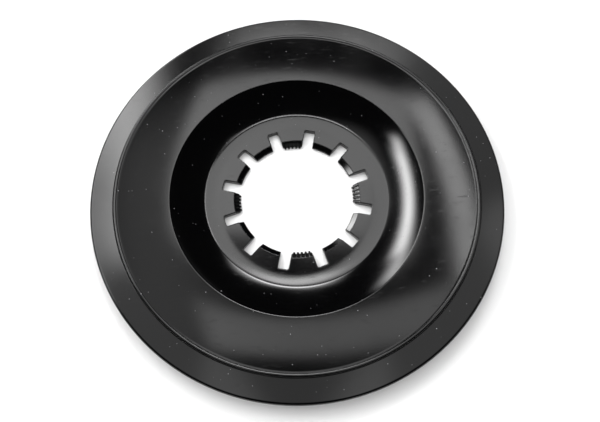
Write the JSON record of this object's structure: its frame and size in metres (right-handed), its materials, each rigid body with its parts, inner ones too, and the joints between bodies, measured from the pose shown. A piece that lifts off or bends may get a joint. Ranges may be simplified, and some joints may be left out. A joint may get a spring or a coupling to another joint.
{
  "type": "bicycle spoke protector disc",
  "caption": "Dished round guard disc in glossy black plastic, with a raised bead, a sloping rim and a wide bore edged by short lipped fingers that clip over a wheel hub's flange.",
  "frame": {"origin": "on the disc's axis, in the plane of the web's flat back, on which the disc lies", "axes": "+Z along the disc's axis, away from the wheel and towards the sprockets; +X through the middle of a toothed catch finger"},
  "size_m": [0.15, 0.15, 0.009],
  "materials": {
    "black_plastic": "gloss"
  },
  "bodies": {
    "disc": {"disc": "black_plastic"},
    "catch_finger_01": {"catch_finger_01": "black_plastic"},
    "snap_finger_02": {"snap_finger_02": "black_plastic"},
    "snap_finger_03": {"snap_finger_03": "black_plastic"},
    "catch_finger_04": {"catch_finger_04": "black_plastic"},
    "snap_finger_05": {"snap_finger_05": "black_plastic"},
    "snap_finger_06": {"snap_finger_06": "black_plastic"},
    "catch_finger_07": {"catch_finger_07": "black_plastic"},
    "snap_finger_08": {"snap_finger_08": "black_plastic"},
    "snap_finger_09": {"snap_finger_09": "black_plastic"},
    "catch_finger_10": {"catch_finger_10": "black_plastic"},
    "snap_finger_11": {"snap_finger_11": "black_plastic"},
    "snap_finger_12": {"snap_finger_12": "black_plastic"}
  },
  "joints": [
    {"name": "catch_finger_01_flex", "type": "hinge", "parent": "disc", "child": "catch_finger_01", "pos_m": [0.027, 0, 0.0011], "axis": [0, 1, 0], "range_deg": [-4, 6], "stiffness_Nm_per_rad": 2.5},
    {"name": "snap_finger_02_flex", "type": "hinge", "parent": "disc", "child": "snap_finger_02", "pos_m": [0.02338, 0.0135, 0.0011], "axis": [-0.5, 0.866, 0], "range_deg": [-4, 6], "stiffness_Nm_per_rad": 2.5},
    {"name": "snap_finger_03_flex", "type": "hinge", "parent": "disc", "child": "snap_finger_03", "pos_m": [0.0135, 0.02338, 0.0011], "axis": [-0.866, 0.5, 0], "range_deg": [-4, 6], "stiffness_Nm_per_rad": 2.5},
    {"name": "catch_finger_04_flex", "type": "hinge", "parent": "disc", "child": "catch_finger_04", "pos_m": [0, 0.027, 0.0011], "axis": [-1, 0, 0], "range_deg": [-4, 6], "stiffness_Nm_per_rad": 2.5},
    {"name": "snap_finger_05_flex", "type": "hinge", "parent": "disc", "child": "snap_finger_05", "pos_m": [-0.0135, 0.02338, 0.0011], "axis": [-0.866, -0.5, 0], "range_deg": [-4, 6], "stiffness_Nm_per_rad": 2.5},
    {"name": "snap_finger_06_flex", "type": "hinge", "parent": "disc", "child": "snap_finger_06", "pos_m": [-0.02338, 0.0135, 0.0011], "axis": [-0.5, -0.866, 0], "range_deg": [-4, 6], "stiffness_Nm_per_rad": 2.5},
    {"name": "catch_finger_07_flex", "type": "hinge", "parent": "disc", "child": "catch_finger_07", "pos_m": [-0.027, 0, 0.0011], "axis": [0, -1, 0], "range_deg": [-4, 6], "stiffness_Nm_per_rad": 2.5},
    {"name": "snap_finger_08_flex", "type": "hinge", "parent": "disc", "child": "snap_finger_08", "pos_m": [-0.02338, -0.0135, 0.0011], "axis": [0.5, -0.866, 0], "range_deg": [-4, 6], "stiffness_Nm_per_rad": 2.5},
    {"name": "snap_finger_09_flex", "type": "hinge", "parent": "disc", "child": "snap_finger_09", "pos_m": [-0.0135, -0.02338, 0.0011], "axis": [0.866, -0.5, 0], "range_deg": [-4, 6], "stiffness_Nm_per_rad": 2.5},
    {"name": "catch_finger_10_flex", "type": "hinge", "parent": "disc", "child": "catch_finger_10", "pos_m": [0, -0.027, 0.0011], "axis": [1, 0, 0], "range_deg": [-4, 6], "stiffness_Nm_per_rad": 2.5},
    {"name": "snap_finger_11_flex", "type": "hinge", "parent": "disc", "child": "snap_finger_11", "pos_m": [0.0135, -0.02338, 0.0011], "axis": [0.866, 0.5, 0], "range_deg": [-4, 6], "stiffness_Nm_per_rad": 2.5},
    {"name": "snap_finger_12_flex", "type": "hinge", "parent": "disc", "child": "snap_finger_12", "pos_m": [0.02338, -0.0135, 0.0011], "axis": [0.5, 0.866, 0], "range_deg": [-4, 6], "stiffness_Nm_per_rad": 2.5}
  ]
}
